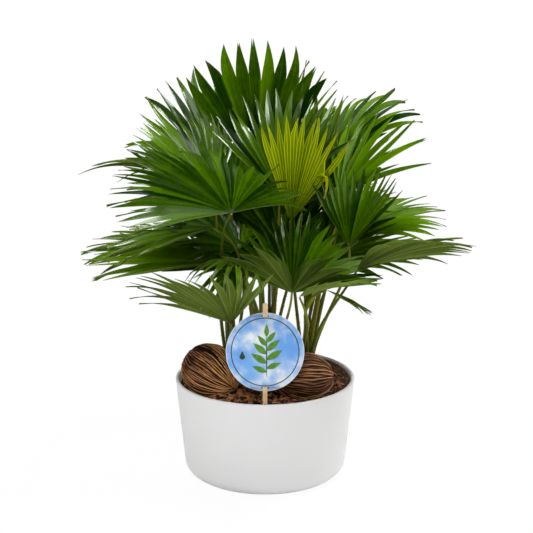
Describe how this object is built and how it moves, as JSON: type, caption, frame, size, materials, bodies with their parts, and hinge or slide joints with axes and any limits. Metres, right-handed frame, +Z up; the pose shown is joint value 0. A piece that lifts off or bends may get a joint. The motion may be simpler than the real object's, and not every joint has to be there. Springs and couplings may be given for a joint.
{
  "type": "potted footstool palm",
  "caption": "Footstool palm with pleated fan leaves in a round white pot, with dried seed husks and a round plant label on a stick.",
  "frame": {"origin": "centre of the flat underside of the pot", "axes": "+Z up through the plant; -Y is the side with the label and the husks; +X is to the right seen from that side"},
  "size_m": [0.5314, 0.4702, 0.5619],
  "materials": {
    "pot": "smooth white, satin",
    "soil": "coarse dark bark and coir mix",
    "stem": "fibrous leaf sheaths",
    "stalk": "smooth green leaf stalk",
    "blade": "glossy dark green, matt grey-green below",
    "young_blade": "soft yellow-green",
    "husk": "dry brown fibres",
    "stick": "plain pale wood",
    "label": "printed and varnished card"
  },
  "bodies": {
    "root": {"planter_pot": "pot", "potting_soil": "soil", "stem_base_left": "stem", "stem_base_right": "stem", "stem_base_front": "stem", "stem_base_rear": "stem", "stalk_left_front": "stalk", "stalk_young": "stalk", "stalk_top": "stalk", "stalk_top_left": "stalk", "stalk_left_upper": "stalk", "stalk_centre": "stalk", "stalk_right_top": "stalk", "stalk_right_upper": "stalk", "stalk_right_front": "stalk", "stalk_right_middle": "stalk", "stalk_right_low": "stalk", "stalk_front": "stalk", "stalk_left_front_low": "stalk", "stalk_left_low": "stalk", "stalk_left_broad": "stalk", "stalk_left_back": "stalk", "stalk_front_hanging": "stalk", "stalk_right_small": "stalk", "stalk_front_right": "stalk", "stalk_right_folded": "stalk", "stalk_back_high": "stalk", "stalk_back_left": "stalk", "stalk_back_right": "stalk", "stalk_back_low": "stalk", "blade_left_front": "blade", "blade_young": "young_blade", "blade_top": "blade", "blade_top_left": "blade", "blade_left_upper": "blade", "blade_centre": "blade", "blade_right_top": "blade", "blade_right_upper": "blade", "blade_right_front": "blade", "blade_right_middle": "blade", "blade_right_low": "blade", "blade_front": "blade", "blade_left_front_low": "blade", "blade_left_low": "blade", "blade_left_broad": "blade", "blade_left_back": "blade", "blade_front_hanging": "blade", "blade_right_small": "blade", "blade_front_right": "blade", "blade_right_folded": "young_blade", "blade_back_high": "blade", "blade_back_left": "blade", "blade_back_right": "blade", "blade_back_low": "blade", "husk_left": "husk", "husk_right": "husk", "label_stick": "stick", "plant_label": "label"}
  },
  "joints": []
}
